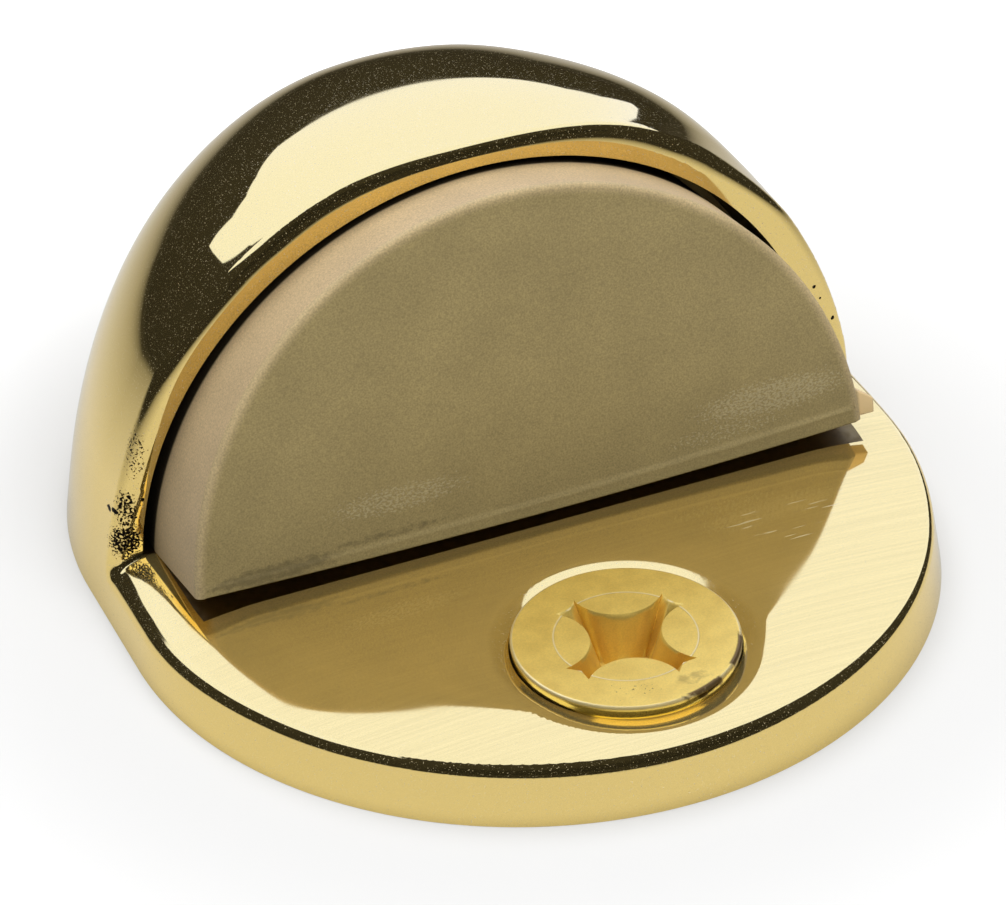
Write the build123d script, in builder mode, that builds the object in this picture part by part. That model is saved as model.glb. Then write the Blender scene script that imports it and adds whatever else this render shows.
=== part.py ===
import os
from math import cos, radians, sin, sqrt, tan

from build123d import *

os.makedirs("parts", exist_ok=True)

# Cast body: an elongated dome, cut away in front down to a low platform
base_width = 47.6
base_stretch = 8.54
dome_height = 25.0
flank_lean = 3.37
flank_pull = 23.1
crown_pull = 10.25
platform_height = 3.7
rim_setback = 5.46
edge_round = 1.0
wall = 3.0

# Rubber bumper: a half-moon slab that leans back in its pocket under the dome
bumper_side_wall = 3.16
bumper_crown_gap = 1.0
bumper_thickness = 11.1
bumper_tilt = 10.8
bumper_nose = 1.77
bumper_lift = 1.33
bumper_sag = 0.38
bumper_edge_round = 0.35
pocket_clearance = 0.3

# Foot lip along the bumper's lower front edge, and the moulding flash at its right end
lip_height = 1.05
lip_step = 0.13
lip_inset = 0.25
flash_reach = 0.98
flash_foot = 0.1
flash_height = 2.6
flash_tip_height = 1.0
flash_thickness = 0.8

# Flat-head fixing screw and its countersunk hole
screw_edge = 10.1
head_diameter = 12.8
head_proud = 0.45
head_band = 0.75
head_edge_round = 0.2
head_angle = 82.0
shank_diameter = 6.15
screw_length = 38.1
point_length = 8.0
point_diameter = 0.8
hole_clearance = 0.4
mouth_round = 1.84

# Cross recess in the screw's head
recess_turn = 27.5
recess_reach = 4.3
recess_wing = 1.6
recess_notch = 0.35
recess_waist = 2.0
recess_depth = 3.0
recess_floor_share = 0.55

# Places worked out from the sizes above
base_radius = base_width / 2
screw_setback = base_radius - screw_edge
cone_slope = tan(radians(head_angle / 2))
head_top = platform_height + head_proud
cone_top = head_top - head_band
seat_radius = head_diameter / 2 + (platform_height - cone_top) * cone_slope
cone_bottom = cone_top - (head_diameter - shank_diameter) / 2 / cone_slope
screw_tip = head_top - screw_length
corner_half = base_radius - bumper_side_wall
bumper_rise = dome_height - bumper_crown_gap - platform_height - bumper_lift
bumper_height = bumper_rise / cos(radians(bumper_tilt))
bumper_radius = (corner_half**2 + bumper_height**2) / (2 * bumper_height)
bumper_centre_drop = bumper_radius - bumper_height
lip_half = sqrt(bumper_radius**2 - (bumper_centre_drop + lip_height) ** 2) - bumper_edge_round - lip_inset
sag_radius = (corner_half**2 + bumper_sag**2) / (2 * bumper_sag)
lip_end = sag_radius - bumper_sag - sqrt(sag_radius**2 - lip_half**2)
lip_top = lip_end + lip_height

face_normal = (0, -cos(radians(bumper_tilt)), sin(radians(bumper_tilt)))
corner_plane = Plane((0, -bumper_nose, platform_height + bumper_lift), (1, 0, 0), face_normal)
pocket_plane = Plane(corner_plane.from_local_coords((0, -bumper_centre_drop, 0)), (1, 0, 0), face_normal)
floor_plane = Plane.XY.offset(platform_height)


def draw_half_dome(inset):
    # Half of the dome's upright section: a leaning flank that rolls over into the crown
    foot = base_radius - inset
    crown = dome_height - inset
    Bezier((foot, 0), (foot - flank_lean, flank_pull - inset), (crown_pull, crown), (0, crown))
    Polyline((0, crown), (0, 0), (foot, 0))


def draw_cross(share):
    # Four flat-ended wings with a notch in each end, joined by hollow flanks
    reach = recess_reach * share
    half_wing = recess_wing * share / 2
    for turn in range(0, 360, 90):
        first = Vector(reach, -half_wing).rotate(Axis.Z, turn)
        notch = Vector(reach - recess_notch * share, 0).rotate(Axis.Z, turn)
        last = Vector(reach, half_wing).rotate(Axis.Z, turn)
        waist = Vector(recess_waist * share, 0).rotate(Axis.Z, turn + 45)
        following = Vector(reach, -half_wing).rotate(Axis.Z, turn + 90)
        Polyline(first, notch, last)
        ThreePointArc(last, waist, following)


# The casting: two half turns of the section with a straight stretch between them, cut away in front
with BuildPart() as casting:
    with BuildSketch(Plane.XZ.offset(-base_stretch)):
        with BuildLine():
            draw_half_dome(0)
        make_face()
    revolve(axis=Axis((0, base_stretch, 0), (0, 0, 1)), revolution_arc=180)
    with BuildSketch(Plane.XZ.offset(-base_stretch)):
        with BuildLine():
            draw_half_dome(0)
        make_face()
        mirror(about=Plane.YZ)
    extrude(amount=base_stretch)
    with BuildSketch(Plane.XZ):
        with BuildLine():
            draw_half_dome(0)
        make_face()
        mirror(about=Plane.YZ, mode=Mode.REPLACE)
    revolve(axis=Axis.Z, revolution_arc=180)
    with BuildSketch(floor_plane):
        with Locations((0, rim_setback)):
            Rectangle(2 * base_width, 2 * base_width, align=(Align.CENTER, Align.MAX))
    extrude(amount=dome_height, mode=Mode.SUBTRACT)
    rim = casting.faces().filter_by(Axis.Y).sort_by(Axis.Y)[0]
    arch = rim.edges().filter_by(GeomType.LINE, reverse=True)
    rim_line = rim.edges().sort_by(Axis.Z)[0]
    platform = casting.faces().filter_by(Axis.Z).sort_by(Axis.Z)[-1]
    fillet(arch + (platform.edges() - [rim_line]), radius=edge_round)

# The pocket for the bumper, level with the platform below
with BuildPart() as pocket:
    with BuildSketch(pocket_plane):
        Circle(bumper_radius + pocket_clearance)
    extrude(amount=-bumper_thickness)
    split(bisect_by=floor_plane, keep=Keep.TOP)

# The hollow left by the casting core behind the pocket, open below
with BuildPart() as core:
    with BuildSketch(Plane.XZ.offset(-base_stretch)):
        with BuildLine():
            draw_half_dome(wall)
        make_face()
    revolve(axis=Axis((0, base_stretch, 0), (0, 0, 1)))
    split(bisect_by=pocket_plane.offset(-bumper_thickness - wall), keep=Keep.BOTTOM)

# The finished body with its countersunk hole
with BuildPart() as stop_body:
    add(casting.part)
    add(pocket.part, mode=Mode.SUBTRACT)
    add(core.part, mode=Mode.SUBTRACT)
    with Locations((0, -screw_setback, platform_height)):
        CounterSinkHole(shank_diameter / 2 + hole_clearance, seat_radius, platform_height, head_angle)
    level = stop_body.edges().filter_by_position(Axis.Z, platform_height, platform_height)
    mouth = level.filter_by(GeomType.CIRCLE).sort_by_distance((0, -screw_setback, platform_height))[0]
    fillet(mouth, radius=mouth_round)
stop_body.part.label = "stop_body"
export_step(stop_body.part, "parts/stop_body.step")

# The bumper: the half-moon slab, its foot lip and the flash, resting on the pocket's floor
with BuildPart() as rubber_bumper:
    with BuildSketch(corner_plane):
        with BuildLine():
            ThreePointArc((-corner_half, 0), (0, bumper_radius - bumper_centre_drop), (corner_half, 0))
            ThreePointArc((corner_half, 0), (0, -bumper_sag), (-corner_half, 0))
        make_face()
    extrude(amount=-bumper_thickness)
    face_arc = rubber_bumper.faces().filter_by(corner_plane).sort_by(Axis.Y)[0].edges().sort_by(Axis.Z)[-1]
    fillet(face_arc, radius=bumper_edge_round)
    with BuildSketch(corner_plane):
        with BuildLine():
            ThreePointArc((-lip_half, lip_end), (0, -bumper_sag), (lip_half, lip_end))
            Line((lip_half, lip_end), (lip_half, lip_top))
            ThreePointArc((lip_half, lip_top), (0, lip_height - bumper_sag), (-lip_half, lip_top))
            Line((-lip_half, lip_top), (-lip_half, lip_end))
        make_face()
    extrude(amount=lip_step)
    with BuildSketch(corner_plane.offset(-bumper_edge_round)):
        with BuildLine():
            Polyline(
                (corner_half - flash_reach, flash_foot),
                (corner_half + flash_reach, flash_foot),
                (corner_half + flash_reach, flash_tip_height),
                (corner_half - flash_reach, flash_height),
                close=True,
            )
        make_face()
    extrude(amount=-flash_thickness)
    split(bisect_by=floor_plane, keep=Keep.TOP)
rubber_bumper.part.label = "rubber_bumper"
export_step(rubber_bumper.part, "parts/rubber_bumper.step")

# The screw: flat head, cone, plain shank and point, with a cross recess
with BuildPart() as fixing_screw:
    with BuildSketch(Plane.XZ.offset(screw_setback)):
        with BuildLine():
            Polyline(
                (0, head_top),
                (head_diameter / 2, head_top),
                (head_diameter / 2, cone_top),
                (shank_diameter / 2, cone_bottom),
                (shank_diameter / 2, screw_tip + point_length),
                (point_diameter / 2, screw_tip),
                (0, screw_tip),
                close=True,
            )
        make_face()
    revolve(axis=Axis((0, -screw_setback, 0), (0, 0, 1)))
    fillet(fixing_screw.faces().sort_by(Axis.Z)[-1].edges(), radius=head_edge_round)
    recess_plane = Plane((0, -screw_setback, head_top), (1, 0, 0), (0, 0, 1)).rotated((0, 0, recess_turn))
    with BuildSketch(recess_plane):
        with BuildLine():
            draw_cross(1)
        make_face()
    with BuildSketch(recess_plane.offset(-recess_depth)):
        with BuildLine():
            draw_cross(recess_floor_share)
        make_face()
    loft(ruled=True, mode=Mode.SUBTRACT)
fixing_screw.part.label = "fixing_screw"
export_step(fixing_screw.part, "parts/fixing_screw.step")
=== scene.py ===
import math

import bmesh
import bpy
import numpy as np
from mathutils import Matrix, Vector


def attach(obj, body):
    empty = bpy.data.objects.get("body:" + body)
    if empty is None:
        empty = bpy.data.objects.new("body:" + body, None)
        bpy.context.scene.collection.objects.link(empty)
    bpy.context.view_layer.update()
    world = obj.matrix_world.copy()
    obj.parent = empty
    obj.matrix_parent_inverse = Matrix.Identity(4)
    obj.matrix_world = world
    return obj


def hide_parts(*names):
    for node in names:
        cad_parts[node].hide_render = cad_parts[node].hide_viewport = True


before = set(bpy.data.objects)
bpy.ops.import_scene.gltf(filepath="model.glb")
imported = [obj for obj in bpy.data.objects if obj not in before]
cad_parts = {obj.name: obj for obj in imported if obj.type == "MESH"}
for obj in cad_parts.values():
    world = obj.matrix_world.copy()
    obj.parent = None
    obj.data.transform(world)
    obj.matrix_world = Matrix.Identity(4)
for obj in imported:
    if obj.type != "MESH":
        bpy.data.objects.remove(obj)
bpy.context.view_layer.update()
print("frame loaded", sorted(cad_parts))

mm = 0.001
scene = bpy.context.scene
scene.view_settings.view_transform = "Standard"


def newMaterial(name):
    mat = bpy.data.materials.new(name)
    mat.use_nodes = True
    tree = mat.node_tree
    shader = tree.nodes["Principled BSDF"]
    return mat, tree, shader


def addNode(tree, kind, **values):
    node = tree.nodes.new(kind)
    for key, value in values.items():
        setattr(node, key, value)
    return node


def feed(tree, source, target):
    # a target is fed by another socket, or is set to a plain value
    if isinstance(source, bpy.types.NodeSocket):
        tree.links.new(source, target)
    else:
        target.default_value = source


def mathNode(tree, operation, first, second=0.0):
    node = addNode(tree, "ShaderNodeMath", operation=operation)
    for socket, value in zip(node.inputs, (first, second)):
        feed(tree, value, socket)
    return node.outputs[0]


def times(tree, first, second):
    return mathNode(tree, "MULTIPLY", first, second)


def lengthOf(tree, first, second):
    # the length of a flat vector
    squares = [mathNode(tree, "POWER", side, 2.0) for side in (first, second)]
    return mathNode(tree, "SQRT", mathNode(tree, "ADD", *squares))


def vectorNode(tree, operation, first, second=None):
    node = addNode(tree, "ShaderNodeVectorMath", operation=operation)
    feed(tree, first, node.inputs[0])
    if second is not None:
        feed(tree, second, node.inputs[1])
    return node.outputs["Value" if operation == "LENGTH" else "Vector"]


def splitVector(tree, vector):
    node = addNode(tree, "ShaderNodeSeparateXYZ")
    feed(tree, vector, node.inputs[0])
    return node.outputs


def addBump(tree, shader, height, strength, distance, invert=False):
    bump = addNode(tree, "ShaderNodeBump", invert=invert)
    bump.inputs["Strength"].default_value = strength
    bump.inputs["Distance"].default_value = distance
    feed(tree, height, bump.inputs["Height"])
    feed(tree, bump.outputs["Normal"], shader.inputs["Normal"])


def mapRange(tree, value, low, high, toLow=0.0, toHigh=1.0, smooth=True):
    node = addNode(tree, "ShaderNodeMapRange", interpolation_type="SMOOTHSTEP" if smooth else "LINEAR")
    sockets = (("Value", value), ("From Min", low), ("From Max", high),
               ("To Min", toLow), ("To Max", toHigh))
    for name, source in sockets:
        feed(tree, source, node.inputs[name])
    return node.outputs["Result"]


def lineMask(tree, value, middle, inner, outer):
    # full close to the middle value, nothing beyond the outer distance from it
    away = mathNode(tree, "ABSOLUTE", mathNode(tree, "SUBTRACT", value, middle))
    return mapRange(tree, away, inner, outer, 1.0, 0.0)


def mixColor(tree, factor, first, second):
    node = addNode(tree, "ShaderNodeMix", data_type="RGBA")
    feed(tree, factor, node.inputs["Factor"])
    feed(tree, first, node.inputs[6])
    feed(tree, second, node.inputs[7])
    return node.outputs[2]


def noiseNode(tree, vector, scale, detail=2.0, roughness=0.5):
    node = addNode(tree, "ShaderNodeTexNoise")
    for name, source in (("Vector", vector), ("Scale", scale), ("Detail", detail), ("Roughness", roughness)):
        feed(tree, source, node.inputs[name])
    return node.outputs["Fac"]


def newGroup(name, inputs, output):
    tree = bpy.data.node_groups.new(name, "ShaderNodeTree")
    for label, kind, value in inputs:
        socket = tree.interface.new_socket(label, in_out="INPUT", socket_type=kind)
        if value is not None:
            socket.default_value = value
    tree.interface.new_socket(output, in_out="OUTPUT", socket_type="NodeSocketFloat")
    return tree, tree.nodes.new("NodeGroupInput"), tree.nodes.new("NodeGroupOutput")


def useGroup(tree, group, **values):
    node = addNode(tree, "ShaderNodeGroup", node_tree=group)
    for label, value in values.items():
        feed(tree, value, node.inputs[label])
    return node.outputs[0]


def makeGrainGroup():
    # fine even grain between two levels
    inputs = (("Vector", "NodeSocketVector", None), ("Scale", "NodeSocketFloat", 8000.0),
              ("Low", "NodeSocketFloat", 0.9), ("High", "NodeSocketFloat", 1.0))
    tree, enter, leave = newGroup("fineGrain", inputs, "Grain")
    noise = noiseNode(tree, enter.outputs["Vector"], enter.outputs["Scale"], 1.5)
    grain = mapRange(tree, noise, 0.3, 0.7, enter.outputs["Low"], enter.outputs["High"], smooth=False)
    feed(tree, grain, leave.inputs["Grain"])
    return tree


def makePatchGroup():
    # a soft-edged patch round a centre, broken up by noise; Cover is the share of it that is filled
    inputs = (("Vector", "NodeSocketVector", None), ("Centre", "NodeSocketVector", None),
              ("Reach", "NodeSocketVector", (0.001, 0.001, 0.001)),
              ("Stretch", "NodeSocketVector", (1, 1, 1)), ("Scale", "NodeSocketFloat", 4000.0),
              ("Cover", "NodeSocketFloat", 0.5), ("Soft", "NodeSocketFloat", 0.04))
    tree, enter, leave = newGroup("brokenPatch", inputs, "Mask")
    away = vectorNode(tree, "SUBTRACT", enter.outputs["Vector"], enter.outputs["Centre"])
    share = vectorNode(tree, "DIVIDE", away, enter.outputs["Reach"])
    inside = mapRange(tree, vectorNode(tree, "LENGTH", share), 0.35, 1.0, 1.0, 0.0)
    pull = vectorNode(tree, "MULTIPLY", enter.outputs["Vector"], enter.outputs["Stretch"])
    noise = noiseNode(tree, pull, enter.outputs["Scale"], 2.0)
    fill = times(tree, times(tree, inside, enter.outputs["Cover"]), 0.56)
    over = mathNode(tree, "SUBTRACT", noise, mathNode(tree, "SUBTRACT", 0.78, fill))
    speck = mapRange(tree, over, times(tree, enter.outputs["Soft"], -1.0), enter.outputs["Soft"])
    feed(tree, times(tree, speck, mapRange(tree, inside, 0.0, 0.15)), leave.inputs["Mask"])
    return tree


grainGroup = makeGrainGroup()
patchGroup = makePatchGroup()


def spotMm(x, y, z):
    return (x * mm, y * mm, z * mm)


def addMasks(tree, masks):
    # the strongest of the masks
    total = masks[0]
    for mask in masks[1:]:
        total = mathNode(tree, "MAXIMUM", total, mask)
    return total


def patchMasks(tree, vector, patches, **values):
    return [useGroup(tree, patchGroup, Vector=vector, Centre=centre, Reach=reach, Cover=cover, **values)
            for centre, reach, cover in patches]


def scaledColor(tree, color, factor):
    # a colour times a value
    node = addNode(tree, "ShaderNodeVectorMath", operation="SCALE")
    feed(tree, color[:3] if isinstance(color, tuple) else color, node.inputs[0])
    feed(tree, factor, node.inputs["Scale"])
    return node.outputs[0]


# polished cast brass: mirror bright, with casting pits at the arch's feet and brush lines on the platform
brass = {
    "color": (0.91, 0.69, 0.25, 1.0), "roughness": (0.03, 0.085),
    "metallic": 0.97, "platformMetallic": 0.88, "platformTop": (4.4 * mm, 4.1 * mm), "level": (0.93, 0.99),
    "pitColor": (0.012, 0.009, 0.006, 1.0), "pitDepth": 0.05 * mm,
    "patches": ((spotMm(-22.2, 5.7, 4.8), spotMm(1.5, 1.4, 1.6), 7500.0, 0.62),
                (spotMm(-21.9, 5.9, 6.6), spotMm(1.1, 1.0, 2.0), 7000.0, 0.5),
                (spotMm(-21.2, 5.9, 10.5), spotMm(0.9, 1.0, 3.0), 8000.0, 0.36)),
    "pits": ((-22.57, 6.79, 6.40, 0.26), (-22.51, 6.22, 6.61, 0.24), (-21.8, 5.6, 7.6, 0.2),
             (-21.06, 5.5, 7.35, 0.16), (-21.7, 5.5, 8.9, 0.15), (21.03, 5.5, 9.89, 0.17),
             (21.45, 5.5, 8.99, 0.11), (22.33, 5.6, 7.33, 0.18), (22.21, 5.6, 6.52, 0.1)),
    "dustColor": (0.80, 0.76, 0.64, 1.0), "dustScale": 14000.0, "dustShare": (0.42, 0.1),
    # painted reflection: an orange strip by the left foot, added to the orange that the front panel gives
    # there through two mirrorings
    "paintedReflectionColor": (0.90, 0.52, 0.05, 1.0),
    "paintedReflectionAt": spotMm(-20.6, 0.4, 3.6), "paintedReflectionReach": spotMm(0.95, 5.2, 1.0),
    "lineScale": (70.0, 5200.0, 70.0), "lineTurn": -2.0, "lineShade": (0.93, 1.015),
    "scratchPlace": spotMm(12.5, -7.5, 3.9), "scratchReach": spotMm(6.0, 3.0, 1.0),
}


def makeBrass():
    mat, tree, shader = newMaterial("polishedBrass")
    place = addNode(tree, "ShaderNodeTexCoord")
    coord = place.outputs["Object"]

    # brush lines run along the bumper on the platform only
    normal = splitVector(tree, place.outputs["Normal"])
    spot = splitVector(tree, coord)
    low = mapRange(tree, spot["Z"], *brass["platformTop"])
    platform = times(tree, low, mapRange(tree, normal["Z"], *brass["level"]))
    comb = addNode(tree, "ShaderNodeMapping")
    comb.inputs["Scale"].default_value = brass["lineScale"]
    comb.inputs["Rotation"].default_value = (0, 0, math.radians(brass["lineTurn"]))
    feed(tree, coord, comb.inputs["Vector"])
    lines = noiseNode(tree, comb.outputs["Vector"], 1.0, 3.0, 0.65)
    lineShade = mapRange(tree, lines, 0.32, 0.68, *brass["lineShade"], smooth=False)
    lineShade = times(tree, mathNode(tree, "SUBTRACT", lineShade, 1.0), platform)
    lineShade = mathNode(tree, "ADD", 1.0, lineShade)
    scratch = useGroup(tree, patchGroup, Vector=coord, Centre=brass["scratchPlace"],
                       Reach=brass["scratchReach"], Stretch=(0.12, 1.6, 1.0), Scale=2600.0, Cover=0.29)

    grain = useGroup(tree, grainGroup, Vector=coord, Scale=15000.0, Low=0.93, High=1.02)
    pits = [useGroup(tree, patchGroup, Vector=coord, Centre=centre, Reach=reach, Scale=scale, Cover=cover)
            for centre, reach, scale, cover in brass["patches"]]
    pits += [useGroup(tree, patchGroup, Vector=coord, Centre=spotMm(x, y, z), Reach=spotMm(r, 0.5, r),
                      Scale=5000.0, Cover=1.1) for x, y, z, r in brass["pits"]]
    pitted = addMasks(tree, pits)
    # painted reflection: orange tint on the platform by the left foot
    paintedReflection = useGroup(tree, patchGroup, Vector=coord, Centre=brass["paintedReflectionAt"], Reach=brass["paintedReflectionReach"],
                      Scale=300.0, Cover=1.0, Soft=0.3)
    tone = mixColor(tree, times(tree, paintedReflection, 0.8), brass["color"], brass["paintedReflectionColor"])
    tone = scaledColor(tree, tone, times(tree, grain, lineShade))
    dust = mapRange(tree, noiseNode(tree, coord, brass["dustScale"], 0.0), 0.745, 0.78)
    dust = times(tree, dust, mapRange(tree, platform, 0.0, 1.0, *brass["dustShare"], smooth=False))
    dust = addMasks(tree, [dust, times(tree, scratch, 0.3)])
    tone = mixColor(tree, dust, tone, brass["dustColor"])
    feed(tree, mixColor(tree, pitted, tone, brass["pitColor"]), shader.inputs["Base Color"])

    # clear polish under a thin haze, with dust that stays matt
    film = mapRange(tree, platform, 0.0, 1.0, brass["metallic"], brass["platformMetallic"], smooth=False)
    film = times(tree, film, mathNode(tree, "SUBTRACT", 1.0, dust))
    feed(tree, film, shader.inputs["Metallic"])
    haze = mapRange(tree, noiseNode(tree, coord, 110.0, 5.0, 0.6), 0.35, 0.75, *brass["roughness"])
    dull = times(tree, addMasks(tree, [dust, pitted]), 0.6)
    feed(tree, addMasks(tree, [haze, dull]), shader.inputs["Roughness"])
    addBump(tree, shader, pitted, 0.6, brass["pitDepth"], invert=True)
    return mat


# countersink, painted dark: shade in the gap round the screw head
boredFinish = {"color": (0.09, 0.06, 0.02), "roughness": (0.4, 0.5), "grain": (0.9, 1.04)}


def makeBoredBrass():
    mat, tree, shader = newMaterial("boredBrass")
    coord = addNode(tree, "ShaderNodeTexCoord").outputs["Object"]
    low, high = boredFinish["grain"]
    grain = useGroup(tree, grainGroup, Vector=coord, Scale=9000.0, Low=low, High=high)
    feed(tree, scaledColor(tree, boredFinish["color"], grain), shader.inputs["Base Color"])
    shader.inputs["Metallic"].default_value = 1.0
    feed(tree, mapRange(tree, grain, low, high, *boredFinish["roughness"]), shader.inputs["Roughness"])
    return mat


# pocket and hollow, left as cast and duller than the polished outside
castFinish = {"dark": (0.16, 0.11, 0.04, 1.0), "light": (0.38, 0.28, 0.11, 1.0), "roughness": (0.35, 0.6)}


def makeCastBrass():
    mat, tree, shader = newMaterial("castBrass")
    coord = addNode(tree, "ShaderNodeTexCoord").outputs["Object"]
    shader.inputs["Metallic"].default_value = 1.0
    grain = noiseNode(tree, coord, 2600.0, 4.0)
    feed(tree, mixColor(tree, grain, castFinish["dark"], castFinish["light"]), shader.inputs["Base Color"])
    feed(tree, mapRange(tree, grain, 0.2, 0.8, *castFinish["roughness"]), shader.inputs["Roughness"])
    return mat


# grey-tan moulded rubber: fine speckle, pale scuffs and dark patches along the foot, with painted light:
# paler sides, a painted highlight along the edge, painted shade towards the foot and in the pocket's gap
rubber = {
    "color": (0.40, 0.314, 0.138, 1.0), "side": (0.55, 0.405, 0.225, 1.0), "edge": (0.60, 0.46, 0.25, 1.0),
    "scuff": (0.80, 0.70, 0.46, 1.0), "darkFootColor": (0.12, 0.095, 0.045, 1.0), "tab": (0.95, 0.70, 0.36, 1.0),
    "roughness": (0.5, 0.72), "speckle": (0.80, 1.16),
    "faceTurn": 10.8, "faceShift": spotMm(0, 2.681, -4.609),
    "drop": 1.38 * mm, "edgeAt": (19.95 * mm, 20.55 * mm), "sideAt": (0.1 * mm, 0.5 * mm),
    "tabAt": (20.5 * mm, 20.75 * mm), "footTo": 9.0 * mm, "footShade": 0.84,
    "gapAt": (5.3 * mm, 5.6 * mm), "gapShade": 0.06, "grainDepth": 0.03 * mm,
    "scuffs": ((spotMm(15.0, 0, 3.0), spotMm(7.5, 2.0, 1.7), 0.52),
               (spotMm(-8.2, 0, 2.9), spotMm(6.5, 2.0, 1.3), 0.46),
               (spotMm(12.0, 0, 1.6), spotMm(6.0, 2.0, 0.9), 0.38)),
    "darkFootPatches": ((spotMm(-16.0, 0, 0.45), spotMm(5.5, 2.0, 0.75), 0.85),
                (spotMm(-9.0, 0, 0.9), spotMm(5.0, 2.0, 0.35), 0.5)),
}


def makeRubber():
    mat, tree, shader = newMaterial("bumperRubber")
    coord = addNode(tree, "ShaderNodeTexCoord").outputs["Object"]
    face = addNode(tree, "ShaderNodeMapping")       # x across, z up the face, y into the rubber
    face.inputs["Rotation"].default_value = (math.radians(rubber["faceTurn"]), 0, 0)
    face.inputs["Location"].default_value = rubber["faceShift"]
    feed(tree, coord, face.inputs["Vector"])
    onFace = face.outputs["Vector"]
    at = splitVector(tree, onFace)
    high = mathNode(tree, "ADD", at["Z"], rubber["drop"])
    deep = mapRange(tree, at["Y"], *rubber["sideAt"])
    # painted highlight along the face's rounded edge
    rim = mapRange(tree, lengthOf(tree, at["X"], high), *rubber["edgeAt"])

    fine, coarse = rubber["speckle"]
    speckle = useGroup(tree, grainGroup, Vector=coord, Scale=9500.0, Low=fine, High=coarse)
    cloud = useGroup(tree, grainGroup, Vector=coord, Scale=260.0, Low=0.94, High=1.05)
    # painted light: the sides and top take a paler copy of the face's colour, as if lit from above
    color = mixColor(tree, deep, rubber["color"], rubber["side"])
    rim = times(tree, rim, mathNode(tree, "SUBTRACT", 0.75, times(tree, deep, 0.5)))
    color = mixColor(tree, rim, color, rubber["edge"])
    color = scaledColor(tree, color, times(tree, speckle, cloud))
    scuffs = patchMasks(tree, onFace, rubber["scuffs"], Stretch=(0.6, 1.0, 1.0), Scale=8500.0, Soft=0.08)
    # dark patches along the lip at the left of the foot
    darkFootPatches = patchMasks(tree, onFace, rubber["darkFootPatches"], Stretch=(0.5, 1.0, 1.0), Scale=3600.0, Soft=0.25)
    scuff = addMasks(tree, scuffs)
    color = mixColor(tree, times(tree, scuff, 0.30), color, rubber["scuff"])
    color = mixColor(tree, times(tree, addMasks(tree, darkFootPatches), 0.55), color, rubber["darkFootColor"])
    color = mixColor(tree, mapRange(tree, at["X"], *rubber["tabAt"]), color, rubber["tab"])

    # painted shade: darker towards the foot, and black in the gap round the pocket's mouth
    low = mapRange(tree, at["Z"], 0.0, rubber["footTo"], rubber["footShade"], 1.0)
    gap = mapRange(tree, splitVector(tree, coord)["Y"], *rubber["gapAt"], 1.0, rubber["gapShade"])
    color = scaledColor(tree, color, times(tree, low, gap))
    feed(tree, color, shader.inputs["Base Color"])
    feed(tree, mapRange(tree, speckle, fine, coarse, *rubber["roughness"]), shader.inputs["Roughness"])
    shader.inputs["Specular IOR Level"].default_value = 0.35
    addBump(tree, shader, mathNode(tree, "ADD", speckle, scuff), 0.35, rubber["grainDepth"])
    return mat


# yellow brass finish of the screw: matt gold with a punched ring, a painted highlight along the edge, a
# painted bright side and a brown stain
screwFinish = {
    "color": (0.92, 0.66, 0.15, 1.0), "shade": (0.74, 0.50, 0.10, 1.0), "stain": (0.10, 0.05, 0.015, 1.0),
    "paleRingAndHighlight": (1.0, 0.86, 0.48, 1.0), "side": (1.0, 0.80, 0.24, 1.0), "shift": spotMm(0, 13.7, -4.15),
    "metallic": (0.62, 0.95), "roughness": (0.32, 0.4), "sideRoughness": 0.15, "speckle": (0.93, 1.05),
    "ring": 4.0 * mm, "ringWide": (0.028 * mm, 0.07 * mm), "ringDepth": 0.05 * mm,
    "topAt": (-0.05 * mm, -0.01 * mm), "edge": 6.32 * mm, "edgeWide": (0.05 * mm, 0.09 * mm),
    "sideDown": (-0.3 * mm, -0.16 * mm), "sideOut": (6.3 * mm, 6.36 * mm), "rim": (6.08 * mm, 6.2 * mm),
    "stains": ((spotMm(5.2, -3.6, 0), spotMm(2.2, 2.6, 1.0), 0.9),
               (spotMm(2.2, -5.9, 0), spotMm(2.6, 0.9, 1.0), 0.75)),
    "blotches": ((spotMm(1.7, -4.9, 0), spotMm(1.5, 0.8, 1.0), 0.55),),
    "flecks": ((spotMm(-1.4, -4.4, 0), spotMm(3.0, 1.4, 0.6), 0.2),),
}


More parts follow.
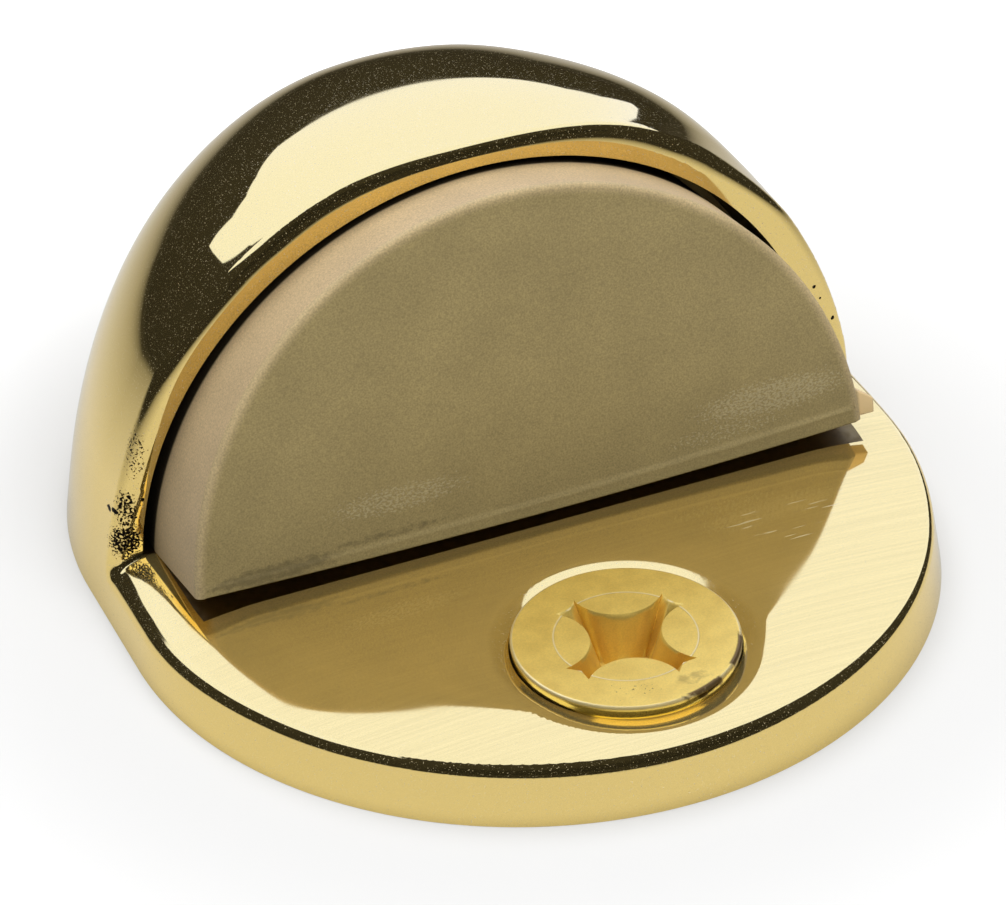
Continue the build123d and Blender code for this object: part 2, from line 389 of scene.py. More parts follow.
def makeScrewBrass():
    mat, tree, shader = newMaterial("screwBrass")
    coord = addNode(tree, "ShaderNodeTexCoord").outputs["Object"]
    head = addNode(tree, "ShaderNodeMapping")       # centred on the head's top
    head.inputs["Location"].default_value = screwFinish["shift"]
    feed(tree, coord, head.inputs["Vector"])
    onHead = head.outputs["Vector"]
    at = splitVector(tree, onHead)
    out = lengthOf(tree, at["X"], at["Y"])
    low, high = screwFinish["speckle"]
    speckle = useGroup(tree, grainGroup, Vector=coord, Scale=11000.0, Low=low, High=high)
    cloud = times(tree, mapRange(tree, noiseNode(tree, coord, 700.0, 3.0), 0.35, 0.7), 0.5)
    color = scaledColor(tree, mixColor(tree, cloud, screwFinish["color"], screwFinish["shade"]), speckle)

    # punched ring, a painted highlight on the edge and a painted bright side that stands in for the light
    # the side mirrors
    ring = lineMask(tree, out, screwFinish["ring"], *screwFinish["ringWide"])
    ring = times(tree, ring, mapRange(tree, at["Z"], *screwFinish["topAt"]))
    # painted highlight: a pale line along the head's lower edge
    edge = lineMask(tree, out, screwFinish["edge"], *screwFinish["edgeWide"])
    color = mixColor(tree, times(tree, addMasks(tree, [ring, edge]), 0.6), color, screwFinish["paleRingAndHighlight"])
    side = mapRange(tree, at["Z"], *screwFinish["sideDown"], 1.0, 0.0)
    side = times(tree, side, mapRange(tree, out, *screwFinish["sideOut"]))
    color = mixColor(tree, side, color, screwFinish["side"])

    # stain along the rim, with a faint blotch and flecks beside it
    stained = addMasks(tree, patchMasks(tree, onHead, screwFinish["stains"], Scale=1800.0, Soft=0.12))
    stained = times(tree, stained, mapRange(tree, out, *screwFinish["rim"]))
    blotch = addMasks(tree, patchMasks(tree, onHead, screwFinish["blotches"], Scale=2200.0, Soft=0.2))
    flecks = patchMasks(tree, onHead, screwFinish["flecks"], Scale=5200.0, Soft=0.03)
    stained = addMasks(tree, [stained, times(tree, blotch, 0.4)] + flecks)
    color = mixColor(tree, times(tree, stained, 0.9), color, screwFinish["stain"])
    feed(tree, color, shader.inputs["Base Color"])
    metal = mapRange(tree, side, 0.0, 1.0, *screwFinish["metallic"], smooth=False)
    feed(tree, metal, shader.inputs["Metallic"])
    matt = mapRange(tree, speckle, low, high, *screwFinish["roughness"])
    matt = mapRange(tree, side, 0.0, 1.0, matt, screwFinish["sideRoughness"], smooth=False)
    feed(tree, matt, shader.inputs["Roughness"])
    addBump(tree, shader, ring, 0.5, screwFinish["ringDepth"], invert=True)
    return mat


def newPiece(name, mesh):
    piece = bpy.data.objects.new(name, mesh)
    scene.collection.objects.link(piece)
    return piece


def meshFromBmesh(bm, name):
    mesh = bpy.data.meshes.new(name)
    bm.to_mesh(mesh)
    bm.free()
    return mesh


def bakedMesh(piece):
    graph = bpy.context.evaluated_depsgraph_get()
    return bpy.data.meshes.new_from_object(piece.evaluated_get(graph))


def latheMesh(profile, centre, steps):
    # a profile of (radius, height) in mm is turned about an upright axis and closed
    bm = bmesh.new()
    rings = []
    for r, z in profile:
        if r == 0:
            rings.append([bm.verts.new(spotMm(*centre, z))] * steps)
            continue
        ring = []
        for i in range(steps):
            turn = 2 * math.pi * i / steps
            spot = (centre[0] + r * math.cos(turn), centre[1] + r * math.sin(turn), z)
            ring.append(bm.verts.new(spotMm(*spot)))
        rings.append(ring)
    for low, high in zip(rings, rings[1:]):
        for i in range(steps):
            j = (i + 1) % steps
            corners = [low[i], low[j], high[j], high[i]]
            bm.faces.new([v for k, v in enumerate(corners) if v not in corners[:k]])
    bmesh.ops.recalc_face_normals(bm, faces=bm.faces)
    return bm


def keepSide(bm, point, normal):
    # what lies on the normal's side of a plane is cut off, and the cut is closed
    geom = bm.verts[:] + bm.edges[:] + bm.faces[:]
    cut = bmesh.ops.bisect_plane(bm, geom=geom, plane_co=point, plane_no=normal, dist=1e-8, clear_outer=True)
    rim = [item for item in cut["geom_cut"] if isinstance(item, bmesh.types.BMEdge)]
    bmesh.ops.contextual_create(bm, geom=rim)


# cast body: sizes in mm, mostly the solid's, with the roll-off and slight swells of a hand-polished casting
body = {
    "foot": 23.8, "stretch": 8.54, "crown": 25.0, "flankLean": 3.37, "flankPull": 23.1, "crownPull": 10.25,
    "platform": 3.7, "rim": 5.46, "rimFillet": 0.35, "wall": 3.0,
    "cell": 0.26, "gridLow": 0.8, "gridUnder": 0.9, "gridHigh": 1.2,
    "edgeAcross": (-23.0, -15.0, 0.0, 12.0, 20.0), "edgeRound": (0.72, 0.5, 0.65, 0.5, 0.38),
    "roundAlong": (1.5, 5.2), "rimUp": (4.2, 8.0, 14.0, 20.0, 24.5),
    "rimWide": (0.9, 1.9, 1.3, 1.1, 0.76), "rimDeep": (0.8, 0.9, 0.9, 0.9, 0.76),
    "rightShare": 0.55, "rightAcross": (0.0, 10.0), "rightDown": (21.0, 15.0),
    "footTilt": 0.33, "footReach": 2.3, "footEase": 1.2,
    "footAlong": (-12.0, 1.0), "footAcross": (-12.0, -20.0),
    "ease": 0.5, "easeAlong": (13.0, 5.5), "easeFrom": (14.5, 20.0), "easeTo": (25.0, 21.5),
    "bulge": 0.5, "bulgeRise": (0.0, 6.0), "bulgeFall": (18.0, 7.0), "bulgeAlong": (-10.0, 3.0),
    "leftShare": 0.2, "leftAcross": (6.0, -6.0),
    "crest": 0.28, "crestAlong": (15.0, 21.0), "crestUp": (15.0, 20.0),
    "crestLeft": (-13.0, -3.0), "crestRight": (13.0, 4.0),
    "lift": 0.25, "rollReach": 6.2, "rollStart": 1.8, "rollTilt": 0.08, "rollBend": 0.006,
    "dishReach": 12.0, "dishEase": 0.004, "mouthReach": 8.0, "mouthEase": 0.7, "mouthSlope": 0.20,
    "pocketRadius": 21.1, "pocketSpread": 1.014, "pocketDrop": 1.38, "pocketDeep": 11.1,
    "tilt": 10.8, "nose": 1.77, "corner": 5.03, "screwAt": (0.0, -13.7), "cutAbove": 6.0, "cutBelow": -1.0,
    "seatRadius": 6.68, "seatHeight": 3.723, "holeRadius": 3.475, "coneSlope": 0.8693,
    "pocketSteps": 288, "coreSteps": 144, "holeSteps": 192, "sharp": 32.0,
}


def flankCurve(t, inset=0.0):
    # the upright section's point, and its first and second derivative, at t
    foot, crown = body["foot"] - inset, body["crown"] - inset
    controls = ((foot, 0.0), (foot - body["flankLean"], body["flankPull"] - inset),
                (body["crownPull"], crown), (0.0, crown))
    a, b, c, d = (np.array(p)[:, None] for p in controls)
    s = 1 - t
    point = a * s**3 + 3 * b * t * s**2 + 3 * c * t**2 * s + d * t**3
    first = 3 * (b - a) * s**2 + 6 * (c - b) * s * t + 3 * (d - c) * t**2
    second = 6 * (c - 2 * b + a) * s + 6 * (d - 2 * c + b) * t
    return point, first, second


def flankDistance(rho, z):
    # signed distance to the section, less than 0 inside
    table = np.linspace(-0.03, 1.0, 400)
    along = flankCurve(table)[0]
    t = np.interp(np.arctan2(z, np.maximum(rho, 1e-9)), np.arctan2(along[1], along[0]), table)
    spot = np.stack([rho, z])
    for _ in range(6):
        point, first, second = flankCurve(t)
        away = point - spot
        slope = (first**2).sum(0) + (away * second).sum(0)
        t = np.clip(t - (away * first).sum(0) / np.where(abs(slope) < 1e-6, 1e-6, slope), -0.03, 1.0)
    point, first, _ = flankCurve(t)
    outward = np.stack([first[1], -first[0]]) / np.sqrt((first**2).sum(0))
    return ((spot - point) * outward).sum(0)


def smoothStep(value, low, high):
    t = np.clip((value - low) / (high - low), 0, 1)
    return t * t * (3 - 2 * t)


def easeIn(run, ease):
    # a slope that starts from 0 and is full after the ease
    return np.where(run < ease, run**2 / (2 * ease), run - ease / 2)


def castForm(p):
    # less than 0 inside the casting: the dome, cut away above the platform and before the rim
    x, y, z = p.T
    dome = flankDistance(np.hypot(x, y - np.clip(y, 0, body["stretch"])), z)
    # the shoulders ease down towards the rim
    shoulder = smoothStep(z, *body["easeFrom"]) * smoothStep(z, *body["easeTo"])
    dome = dome + body["ease"] * shoulder * smoothStep(y, *body["easeAlong"])
    # the flank is fuller low down, mostly on the right
    fuller = body["bulge"] * smoothStep(z, *body["bulgeRise"]) * smoothStep(z, *body["bulgeFall"])
    share = 1 + (body["leftShare"] - 1) * smoothStep(x, *body["leftAcross"])
    dome = dome - fuller * share * smoothStep(y, *body["bulgeAlong"])
    # behind the crown the dome is a little higher
    higher = body["crest"] * smoothStep(y, *body["crestAlong"]) * smoothStep(z, *body["crestUp"])
    dome = dome - higher * smoothStep(x, *body["crestLeft"]) * smoothStep(x, *body["crestRight"])
    reach = np.clip(body["rollReach"] + dome, 0, None)
    roll = body["rollTilt"] * easeIn(reach, body["rollStart"]) + body["rollBend"] * reach**2 / 2
    # a steeper band along the edge at the left foot
    foot = smoothStep(x, *body["footAcross"]) * smoothStep(y, *body["footAlong"])
    band = np.clip(body["footReach"] + dome, 0, None)
    roll = roll + body["footTilt"] * foot * easeIn(band, body["footEase"])
    fromScrew = np.hypot(x - body["screwAt"][0], y - body["screwAt"][1])
    mouth = np.clip(body["mouthReach"] - fromScrew, 0, None)
    dish = body["dishEase"] * np.clip(body["dishReach"] - fromScrew, 0, None) ** 3 / 3
    dish += body["mouthSlope"] * easeIn(mouth, body["mouthEase"])
    above = z - (body["platform"] + body["lift"] - roll - dish)
    before = body["rim"] - y
    r = body["rimFillet"]
    corner = np.hypot(np.maximum(r - above, 0), np.maximum(r - before, 0))
    opening = np.maximum(r, np.minimum(above, before)) - corner
    # the edges are rounded: evenly along the platform, wider across than deep along the rim
    along = smoothStep(y, *body["roundAlong"])
    level = np.interp(x, body["edgeAcross"], body["edgeRound"])
    right = smoothStep(x, *body["rightAcross"]) * smoothStep(z, *body["rightDown"])
    share = 1 + (body["rightShare"] - 1) * right
    wide = level + (np.interp(z, body["rimUp"], body["rimWide"]) * share - level) * along
    deep = level + (np.interp(z, body["rimUp"], body["rimDeep"]) * share - level) * along
    return deep * (np.hypot(np.maximum(wide + dome, 0) / wide, np.maximum(deep + opening, 0) / deep) - 1)


def castSlope(p):
    step = 1e-4
    slope = np.empty_like(p)
    for axis in range(3):
        shift = np.zeros(3)
        shift[axis] = step
        slope[:, axis] = (castForm(p + shift) - castForm(p - shift)) / (2 * step)
    return slope


def netSurface(form, low, high, cell):
    # one vertex in each grid cell that the form's surface crosses, and a quad round each crossed grid edge
    axes = [np.arange(a, b, cell) for a, b in zip(low, high)]
    shape = [len(a) for a in axes]
    values = form(np.stack(np.meshgrid(*axes, indexing="ij"), -1).reshape(-1, 3)).reshape(shape)
    cells = [n - 1 for n in shape]
    total, count = np.zeros(cells + [3]), np.zeros(cells)
    crossed = []
    for a in range(3):
        b, c = (a + 1) % 3, (a + 2) % 3
        near = np.moveaxis(values, a, 0)[:-1]
        far = np.moveaxis(values, a, 0)[1:]
        near, far = np.moveaxis(near, 0, a), np.moveaxis(far, 0, a)
        cross = (near < 0) != (far < 0)
        share = np.where(cross, near / np.where(cross, near - far, 1), 0)
        crossed.append((cross, near < 0))
        for db in (0, 1):
            for dc in (0, 1):
                part = [slice(None)] * 3
                part[b], part[c] = slice(db, db + cells[b]), slice(dc, dc + cells[c])
                hit = cross[tuple(part)]
                total[..., a] += share[tuple(part)]
                total[..., b] += db * hit
                total[..., c] += dc * hit
                count += hit
    live = count > 0
    number = np.full(cells, -1)
    number[live] = np.arange(live.sum())
    verts = np.array(low) + cell * (np.argwhere(live) + total[live] / count[live][:, None])
    faces = []
    for a in range(3):
        b, c = (a + 1) % 3, (a + 2) % 3
        cross, inner = crossed[a]
        spots = np.argwhere(cross)
        past, under = spots[:, b], spots[:, c]
        spots = spots[(past > 0) & (under > 0) & (past < cells[b]) & (under < cells[c])]
        ring = []
        for db, dc in ((-1, -1), (0, -1), (0, 0), (-1, 0)):
            at = spots.copy()
            at[:, b] += db
            at[:, c] += dc
            ring.append(number[tuple(at.T)])
        ring = np.stack(ring, 1)
        flip = ~inner[tuple(spots.T)]
        ring[flip] = ring[flip][:, ::-1]
        faces.append(ring)
    return verts, np.concatenate(faces)


def pocketFrame(x, h, w):
    # from the bumper's face plane, x across, h up the face and w out of it, to mm in the frame
    t = math.radians(body["tilt"])
    y = -body["nose"] + h * math.sin(t) - w * math.cos(t)
    return Vector((x, y, body["corner"] + h * math.cos(t) + w * math.sin(t)))


def cutAway(piece, bm, finish=1):
    mesh = meshFromBmesh(bm, "cutter")
    for mat in piece.data.materials:
        mesh.materials.append(mat)
    mesh.polygons.foreach_set("material_index", [finish] * len(mesh.polygons))
    cutter = newPiece("cutter", mesh)
    cut = piece.modifiers.new("cut", "BOOLEAN")
    cut.operation, cut.solver, cut.material_mode, cut.object = "DIFFERENCE", "EXACT", "INDEX", cutter
    result = bakedMesh(piece)
    piece.modifiers.remove(cut)
    piece.data = result
    bpy.data.objects.remove(cutter)


def makeBody(polished, inner, bored):
    start, past = body["foot"] + body["gridLow"], body["gridHigh"]
    low = (-start, -start, -body["gridUnder"])
    high = (body["foot"] + past, body["stretch"] + body["foot"] + past, body["crown"] + past)
    verts, faces = netSurface(castForm, low, high, body["cell"])
    for _ in range(5):
        slope = castSlope(verts)
        verts -= (castForm(verts) / (slope**2).sum(1))[:, None] * slope
    bm = bmesh.new()
    spots = [bm.verts.new(v) for v in verts * mm]
    for face in faces:
        bm.faces.new([spots[i] for i in face])
    keepSide(bm, (0, 0, 0), (0, 0, -1))
    bmesh.ops.recalc_face_normals(bm, faces=bm.faces)
    mesh = meshFromBmesh(bm, "castBody")
    for mat in (polished, inner, bored):
        mesh.materials.append(mat)
    piece = newPiece("castBody", mesh)
    print("casting surface", len(mesh.polygons))

    # pocket for the bumper
    bm = bmesh.new()
    r, deep = body["pocketRadius"] * mm, body["pocketDeep"] * mm
    bmesh.ops.create_cone(bm, cap_ends=True, segments=body["pocketSteps"], radius1=r, radius2=r, depth=deep)
    centre = pocketFrame(0, -body["pocketDrop"], -body["pocketDeep"] / 2) * mm
    outward = pocketFrame(0, 0, 1) - pocketFrame(0, 0, 0)
    turn = outward.to_track_quat("Z", "Y").to_matrix().to_4x4()
    bmesh.ops.transform(bm, matrix=Matrix.Translation(centre) @ turn, verts=bm.verts)
    bmesh.ops.scale(bm, vec=(body["pocketSpread"], 1, 1), verts=bm.verts)
    keepSide(bm, (0, 0, body["platform"] * mm), (0, 0, -1))
    cutAway(piece, bm)

    # hollow left by the casting core
    r, z = flankCurve(np.linspace(0, 1, 60), body["wall"])[0]
    outline = [(float(a), float(b)) for a, b in zip(r[:-1], z[:-1])]
    below = body["cutBelow"]
    profile = [(0, below), (outline[0][0], below)] + outline + [(0, float(z[-1]))]
    bm = latheMesh(profile, (0, body["stretch"]), body["coreSteps"])
    wallPoint = pocketFrame(0, 0, -body["pocketDeep"] - body["wall"]) * mm
    keepSide(bm, wallPoint, outward)
    cutAway(piece, bm)

    # countersunk hole
    seat, hole = body["seatRadius"], body["holeRadius"]
    bottom = body["seatHeight"] - (seat - hole) / body["coneSlope"]
    profile = [(0, body["cutAbove"]), (seat, body["cutAbove"]), (seat, body["seatHeight"]),
               (hole, bottom), (hole, below), (0, below)]
    cutAway(piece, latheMesh(profile, body["screwAt"], body["holeSteps"]), finish=2)
    polishNormals(piece.data)
    return piece


def polishNormals(mesh):
    # the cast surface takes its exact normals, so that mirrored edges run clean
    mesh.polygons.foreach_set("use_smooth", [True] * len(mesh.polygons))
    mesh.set_sharp_from_angle(angle=math.radians(body["sharp"]))
    spots = np.empty(len(mesh.vertices) * 3)
    mesh.vertices.foreach_get("co", spots)
    slope = castSlope(spots.reshape(-1, 3) / mm)
    slope /= np.linalg.norm(slope, axis=1)[:, None]
    normals = np.array([n.vector for n in mesh.corner_normals])
    corner = np.empty(len(mesh.loops), dtype=int)
    mesh.loops.foreach_get("vertex_index", corner)
    for face in mesh.polygons:
        if face.material_index == 0 and face.normal.z > -0.9:
            loops = slice(face.loop_start, face.loop_start + face.loop_total)
            normals[loops] = slope[corner[loops]]
    mesh.normals_split_custom_set([tuple(n) for n in normals])


bodyPiece = makeBody(makeBrass(), makeCastBrass(), makeBoredBrass())
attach(bodyPiece, "root")
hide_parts("stop_body")
print("body", len(bodyPiece.data.polygons))


# rubber bumper: half-moon slab in the face plane, with its foot lip and the flash at the right end
bumper = {
    "half": 20.64, "radius": 20.69, "drop": 1.38, "thick": 11.1, "sag": 0.38, "edge": 0.35,
    "lipHigh": (0.62, 1.02), "lipStep": (0.05, 0.15), "lipSoft": 0.1, "bead": 0.05, "footRound": 0.12,
    "columns": 150, "rows": 56, "crowd": 2.1, "sideRows": 14, "roundRows": 8,
    "flash": ((19.4, 0.1), (21.6, 0.1), (21.6, 1.0), (19.4, 2.6)), "flashDepth": (-0.35, -1.15),
    "flashRound": 0.09, "beadWide": 0.16, "fadeHigh": 2.2, "sharp": 50.0,
}


def makeBumper(mat):
    inner = bumper["radius"] - bumper["edge"]
    ends = math.acos(bumper["drop"] / inner)
    bm = bmesh.new()

    def bow(x):
        return -bumper["sag"] * (1 - (x / bumper["half"]) ** 2)

    def spot(x, h, w):
        return bm.verts.new(pocketFrame(x, h, w) * mm)

    def onArc(r, turn, w):
        return spot(r * math.sin(turn), r * math.cos(turn) - bumper["drop"], w)

    columns, top = [], []
    for i in range(bumper["columns"] + 1):
        turn = -ends + 2 * ends * i / bumper["columns"]
        x, high = inner * math.sin(turn), inner * math.cos(turn) - bumper["drop"]
        share = (x / bumper["half"] + 1) / 2
        lipHigh = bumper["lipHigh"][0] + (bumper["lipHigh"][1] - bumper["lipHigh"][0]) * share
        lipStep = bumper["lipStep"][0] + (bumper["lipStep"][1] - bumper["lipStep"][0]) * share
        foot = min(bow(x), high)
        column = []
        for j in range(bumper["rows"] + 1):
            up = (high - foot) * (j / bumper["rows"]) ** bumper["crowd"]
            fade = min(1, (high - foot) / bumper["fadeHigh"])
            past = smoothStep(up, lipHigh - bumper["lipSoft"], lipHigh + bumper["lipSoft"])
            step = lipStep * fade * float(1 - past)
            bead = bumper["bead"] * fade * share * math.exp(-((up - lipHigh) / bumper["beadWide"]) ** 2)
            under = max(0, bumper["footRound"] - up) * fade
            soft = bumper["footRound"] - math.sqrt(max(0, bumper["footRound"] ** 2 - under**2))
            column.append(spot(x, foot + up, step + bead - soft))
        columns.append(column)
        ring = [column[-1]]
        for k in range(1, bumper["roundRows"] + 1):
            a = math.pi / 2 * k / bumper["roundRows"]
            r = inner + bumper["edge"] * math.sin(a)
            ring.append(onArc(r, turn, bumper["edge"] * (math.cos(a) - 1)))
        for k in range(1, bumper["sideRows"] + 1):
            deep = bumper["edge"] + (bumper["thick"] - bumper["edge"]) * k / bumper["sideRows"]
            ring.append(onArc(bumper["radius"], turn, -deep))
        back = spot(x, foot, -bumper["thick"])
        top.append(ring + [back])
    for grid in (columns, top):
        for left, right in zip(grid, grid[1:]):
            for j in range(len(left) - 1):
                bm.faces.new((left[j], right[j], right[j + 1], left[j + 1]))
    for i in range(bumper["columns"]):
        bm.faces.new((columns[i][0], top[i][-1], top[i + 1][-1], columns[i + 1][0]))
    for side in (0, -1):
        bm.faces.new(columns[side][:-1] + top[side])
    bmesh.ops.remove_doubles(bm, verts=bm.verts, dist=1e-7)
    bmesh.ops.recalc_face_normals(bm, faces=bm.faces)

    tab = bmesh.new()
    front, back = bumper["flashDepth"]
    face = tab.faces.new([tab.verts.new(pocketFrame(x, h, front) * mm) for x, h in bumper["flash"]])
    drawn = bmesh.ops.extrude_face_region(tab, geom=[face])
    moved = [item for item in drawn["geom"] if isinstance(item, bmesh.types.BMVert)]
    bmesh.ops.translate(tab, vec=(pocketFrame(0, 0, back) - pocketFrame(0, 0, front)) * mm, verts=moved)
    soft = bumper["flashRound"] * mm
    bmesh.ops.bevel(tab, geom=tab.edges[:], offset=soft, segments=3, affect="EDGES", profile=0.5)
    bmesh.ops.recalc_face_normals(tab, faces=tab.faces)
    bm.from_mesh(meshFromBmesh(tab, "flash"))
    mesh = meshFromBmesh(bm, "rubberBumper")
    mesh.polygons.foreach_set("use_smooth", [True] * len(mesh.polygons))
    mesh.set_sharp_from_angle(angle=math.radians(bumper["sharp"]))
    mesh.materials.append(mat)
    return newPiece("rubberBumper", mesh)


bumperPiece = makeBumper(makeRubber())
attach(bumperPiece, "root")
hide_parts("rubber_bumper")
print("bumper", len(bumperPiece.data.polygons))


# fixing screw: head and plain shank as in the solid, then a threaded core down to the gimlet point
screw = {
    "at": (0.0, -13.7), "threadTop": -8.0, "pointTop": -26.0, "tip": -33.95,
    "core": 2.2, "crest": 0.85, "pitch": 2.4, "tipRadius": 0.35, "tipRound": 0.3, "overlap": 0.5,
    "ringSteps": 40, "coreSteps": 48, "sharp": 28.0,
}


def threadTree(sizes, mat):
    # two spirals, one straight and one that runs into the point, swept with a diamond section
    tree = bpy.data.node_groups.new("screwThread", "GeometryNodeTree")
    for name in sizes:
        tree.interface.new_socket(name, in_out="INPUT", socket_type="NodeSocketFloat")
    tree.interface.new_socket("Thread", in_out="OUTPUT", socket_type="NodeSocketGeometry")
    enter = tree.nodes.new("NodeGroupInput")
    leave = tree.nodes.new("NodeGroupOutput")
    join = tree.nodes.new("GeometryNodeJoinGeometry")
    pointEnd = screw["tip"] + screw["crest"]
    for run, start, bottom in (("Straight", "Core", screw["pointTop"]), ("Point", "Tip", pointEnd)):
        spiral = tree.nodes.new("GeometryNodeCurveSpiral")
        spiral.inputs["Resolution"].default_value = screw["ringSteps"]
        turns = mathNode(tree, "DIVIDE", enter.outputs[run], enter.outputs["Pitch"])
        feed(tree, turns, spiral.inputs["Rotations"])
        feed(tree, enter.outputs[start], spiral.inputs["Start Radius"])
        feed(tree, enter.outputs["Core"], spiral.inputs["End Radius"])
        feed(tree, enter.outputs[run], spiral.inputs["Height"])
        upright = tree.nodes.new("GeometryNodeSetCurveNormal")
        upright.mode = "Z_UP"
        feed(tree, spiral.outputs["Curve"], upright.inputs["Curve"])
        section = tree.nodes.new("GeometryNodeCurvePrimitiveCircle")
        section.inputs["Resolution"].default_value = 4
        feed(tree, enter.outputs["Crest"], section.inputs["Radius"])
        sweep = tree.nodes.new("GeometryNodeCurveToMesh")
        feed(tree, upright.outputs["Curve"], sweep.inputs["Curve"])
        feed(tree, section.outputs["Curve"], sweep.inputs["Profile Curve"])
        sweep.inputs["Fill Caps"].default_value = True
        place = tree.nodes.new("GeometryNodeTransform")
        place.inputs["Translation"].default_value = spotMm(*screw["at"], bottom)
        feed(tree, sweep.outputs["Mesh"], place.inputs["Geometry"])
        tree.links.new(place.outputs["Geometry"], join.inputs["Geometry"])
    real = tree.nodes.new("GeometryNodeRealizeInstances")
    finish = tree.nodes.new("GeometryNodeSetMaterial")
    finish.inputs["Material"].default_value = mat
    feed(tree, join.outputs["Geometry"], real.inputs["Geometry"])
    feed(tree, real.outputs["Geometry"], finish.inputs["Geometry"])
    feed(tree, finish.outputs["Geometry"], leave.inputs["Thread"])
    return tree


def makeScrew(mat):
    bm = bmesh.new()
    bm.from_mesh(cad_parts["fixing_screw"].data)
    bmesh.ops.remove_doubles(bm, verts=bm.verts, dist=1e-7)
    keepSide(bm, (0, 0, screw["threadTop"] * mm), (0, 0, -1))
    top = screw["threadTop"] + screw["overlap"]
    profile = [(0, top), (screw["core"], top), (screw["core"], screw["pointTop"]),
               (screw["tipRadius"], screw["tip"] + screw["tipRound"]), (0, screw["tip"])]
    bm.from_mesh(meshFromBmesh(latheMesh(profile, screw["at"], screw["coreSteps"]), "core"))
    holder = newPiece("threadHolder", bpy.data.meshes.new("threadHolder"))
    thread = holder.modifiers.new("thread", "NODES")
    sizes = {"Core": screw["core"], "Crest": screw["crest"],
             "Pitch": screw["pitch"], "Tip": screw["tipRadius"],
             "Straight": screw["threadTop"] - screw["pointTop"],
             "Point": screw["pointTop"] - screw["tip"] - screw["crest"]}
    thread.node_group = threadTree(sizes, mat)
    for item in thread.node_group.interface.items_tree:
        if item.in_out == "INPUT":
            thread[item.identifier] = sizes[item.name] * mm
    ridge = bakedMesh(holder)
    holder.modifiers.remove(thread)
    bpy.data.objects.remove(holder)
    bm.from_mesh(ridge)
    mesh = meshFromBmesh(bm, "fixingScrew")
    mesh.materials.clear()
    mesh.materials.append(mat)
    mesh.polygons.foreach_set("material_index", [0] * len(mesh.polygons))
    mesh.polygons.foreach_set("use_smooth", [True] * len(mesh.polygons))
    mesh.set_sharp_from_angle(angle=math.radians(screw["sharp"]))
    normals = [tuple(n.vector) for n in mesh.corner_normals]
    for face in mesh.polygons:
        if abs(face.normal.z) > 0.999:
            for loop in face.loop_indices:
                normals[loop] = tuple(face.normal)
    mesh.normals_split_custom_set(normals)
    return newPiece("fixingScrew", mesh)


screwPiece = makeScrew(makeScrewBrass())
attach(screwPiece, "root")
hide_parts("fixing_screw")
print("screw", len(screwPiece.data.polygons))


# pale floor round the stop, lit by the lamps; the polish mirrors it as a painted pool of light that falls
# off into the dark room
floor = {"half": 1.6, "drop": 0.02 * mm, "color": (0.57, 0.57, 0.57, 1.0), "lift": 0.25,
         "whiteFrom": 0.026, "whiteTo": 0.075, "mirrorColor": (0.65, 0.65, 0.65, 1.0),
         "mirrorNear": 0.04, "mirrorFar": 0.28, "mirrorHold": 0.04}


def makeFloor():
    half, z = floor["half"], -floor["drop"]
    mesh = bpy.data.meshes.new("paleFloor")
    corners = [(-half, -half, z), (half, -half, z), (half, half, z), (-half, half, z)]
    mesh.from_pydata(corners, [], [(0, 1, 2, 3)])
    piece = newPiece("paleFloor", mesh)
    mat, tree, shader = newMaterial("palePaper")
    coord = addNode(tree, "ShaderNodeTexCoord").outputs["Object"]
    far = vectorNode(tree, "LENGTH", coord)
    path = addNode(tree, "ShaderNodeLightPath")
    # for mirrored rays the floor's colour is painted: bright near the stop, dark further away
    nearLog = mathNode(tree, "LOGARITHM", mathNode(tree, "MAXIMUM", far, 0.001), 10.0)
    near, away = math.log10(floor["mirrorNear"]), math.log10(floor["mirrorFar"])
    fall = mapRange(tree, nearLog, near, away, 1.0, floor["mirrorHold"], smooth=False)
    mirrored = mixColor(tree, fall, (0, 0, 0, 1), floor["mirrorColor"])
    color = mixColor(tree, path.outputs["Is Glossy Ray"], floor["color"], mirrored)
    feed(tree, color, shader.inputs["Base Color"])
    shader.inputs["Roughness"].default_value = 1.0
    shader.inputs["Specular IOR Level"].default_value = 0.0
    shader.inputs["Emission Color"].default_value = (1, 1, 1, 1)
    white = mapRange(tree, far, floor["whiteFrom"], floor["whiteTo"], floor["lift"], 1.0)
    white = times(tree, path.outputs["Is Camera Ray"], white)
    feed(tree, white, shader.inputs["Emission Strength"])
    mesh.materials.append(mat)


# soft panels that only the polish mirrors: a tall one behind with a shaped lower edge, and one in front
panels = {
    "softPanel": {"radius": 0.9, "sweep": (-75, 75), "top": 74.0,
                  "strength": 1.25, "color": (0.86, 1.0, 1.6, 1.0),
                  "edgeTurn": (-75, -60, -50, -42, -39, -36, -32, -24, -14, -2,
                               11, 17, 27, 32, 37, 41, 44, 52, 62, 75),
                  "edgeRise": (60, 47, 36, 27, 25.5, 28, 32, 32, 29, 22.6,
                               20, 19, 16.4, 15.5, 12, 6, 6, 11, 22, 42), "bounce": 0},
    "frontPanel": {"radius": 0.9, "sweep": (130, 230), "top": 60.0,
                   "strength": 1.35, "color": (0.92, 1.1, 1.8, 1.0),
                   "edgeTurn": (130, 230), "edgeRise": (26, 26), "bounce": 1},
}


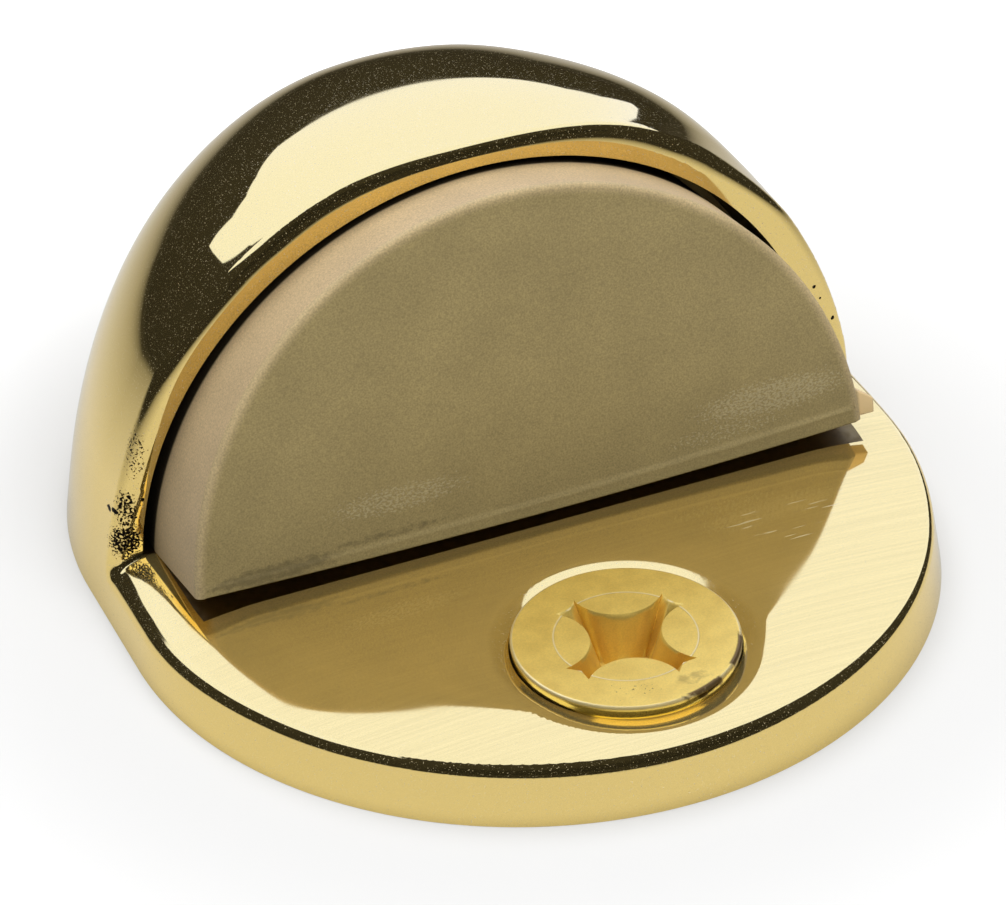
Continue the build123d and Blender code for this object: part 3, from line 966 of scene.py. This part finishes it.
def makePanel(name, spec):
    across, upward = 150, 12
    verts, faces = [], []
    for i in range(across + 1):
        turn = spec["sweep"][0] + (spec["sweep"][1] - spec["sweep"][0]) * i / across
        low = float(np.interp(turn, spec["edgeTurn"], spec["edgeRise"]))
        az = math.radians(turn)
        for j in range(upward + 1):
            el = math.radians(low + (spec["top"] - low) * j / upward)
            flat = math.cos(el)
            verts.append(spec["radius"] * Vector((math.sin(az) * flat, math.cos(az) * flat, math.sin(el))))
    for i in range(across):
        for j in range(upward):
            a = i * (upward + 1) + j
            faces.append((a, a + 1, a + upward + 2, a + upward + 1))
    mesh = bpy.data.meshes.new(name)
    mesh.from_pydata(verts, [], faces)
    piece = newPiece(name, mesh)
    mat, tree, _ = newMaterial(name + "Glow")
    glow = addNode(tree, "ShaderNodeEmission")
    glow.inputs["Color"].default_value = spec["color"]
    glow.inputs["Strength"].default_value = spec["strength"]
    if spec["bounce"]:
        # this one only shows where one polished face mirrors another
        path = addNode(tree, "ShaderNodeLightPath")
        later = mathNode(tree, "GREATER_THAN", path.outputs["Ray Depth"], spec["bounce"] + 0.5)
        feed(tree, times(tree, later, spec["strength"]), glow.inputs["Strength"])
    tree.links.new(glow.outputs[0], tree.nodes["Material Output"].inputs["Surface"])
    mesh.materials.append(mat)
    piece.visible_camera = False
    piece.visible_diffuse = False
    piece.visible_shadow = False


# soft lamps for the paper and the rubber; the metal mirrors the panels instead
lamps = {"overheadLamp": {"place": (-0.07, 0.16, 0.68), "size": 0.8, "power": 4.4},
         "frontLamp": {"place": (0.16, -0.38, 0.60), "size": 0.5, "power": 2.4}}


def makeLamps():
    for name, lamp in lamps.items():
        data = bpy.data.lights.new(name, "AREA")
        data.shape = "DISK"
        data.size = lamp["size"]
        data.energy = lamp["power"]
        piece = bpy.data.objects.new(name, data)
        scene.collection.objects.link(piece)
        piece.location = lamp["place"]
        piece.rotation_euler = (-Vector(lamp["place"])).to_track_quat("-Z", "Y").to_euler()
        piece.visible_glossy = False


# white surroundings for the camera, soft fill for matt surfaces, a dark room for the polish
room = {"fill": 0.2, "dark": 0.012}


def makeRoom():
    world = bpy.data.worlds.new("studioRoom")
    scene.world = world
    world.use_nodes = True
    tree = world.node_tree
    back = tree.nodes["Background"]
    path = addNode(tree, "ShaderNodeLightPath")
    shine = times(tree, path.outputs["Is Glossy Ray"], room["dark"] - room["fill"])
    matt = mathNode(tree, "ADD", shine, room["fill"])
    seen = mathNode(tree, "MAXIMUM", matt, path.outputs["Is Camera Ray"])
    back.inputs["Color"].default_value = (1, 1, 1, 1)
    feed(tree, seen, back.inputs["Strength"])


# camera at the photograph's viewing angle
view = {"azimuth": -22.417, "elevation": 34.991, "roll": -1.680, "distance": 254.653 * mm,
        "focalPixels": 4500.0, "imageWidth": 1006, "sensor": 36.0,
        "target": (0.0, 0.0, 9.0 * mm), "slide": (1.196 * mm, 1.017 * mm)}


def makeCamera():
    a, e, r = (math.radians(view[key]) for key in ("azimuth", "elevation", "roll"))
    back = Vector((math.sin(a) * math.cos(e), -math.cos(a) * math.cos(e), math.sin(e)))
    right = Vector((math.cos(a), math.sin(a), 0.0))
    up = back.cross(right)
    right, up = math.cos(r) * right + math.sin(r) * up, -math.sin(r) * right + math.cos(r) * up
    eye = Vector(view["target"]) + back * view["distance"]
    eye = eye - right * view["slide"][0] - up * view["slide"][1]
    data = bpy.data.cameras.new("photoCamera")
    data.sensor_width = view["sensor"]
    data.lens = view["focalPixels"] / view["imageWidth"] * data.sensor_width
    data.clip_start, data.clip_end = 0.01, 10.0
    piece = bpy.data.objects.new("photoCamera", data)
    scene.collection.objects.link(piece)
    turn = Matrix((right, up, back)).transposed().to_4x4()
    piece.matrix_world = Matrix.Translation(eye) @ turn
    scene.camera = piece


makeFloor()
for name, spec in panels.items():
    makePanel(name, spec)
makeLamps()
makeRoom()
makeCamera()
print("studio set")
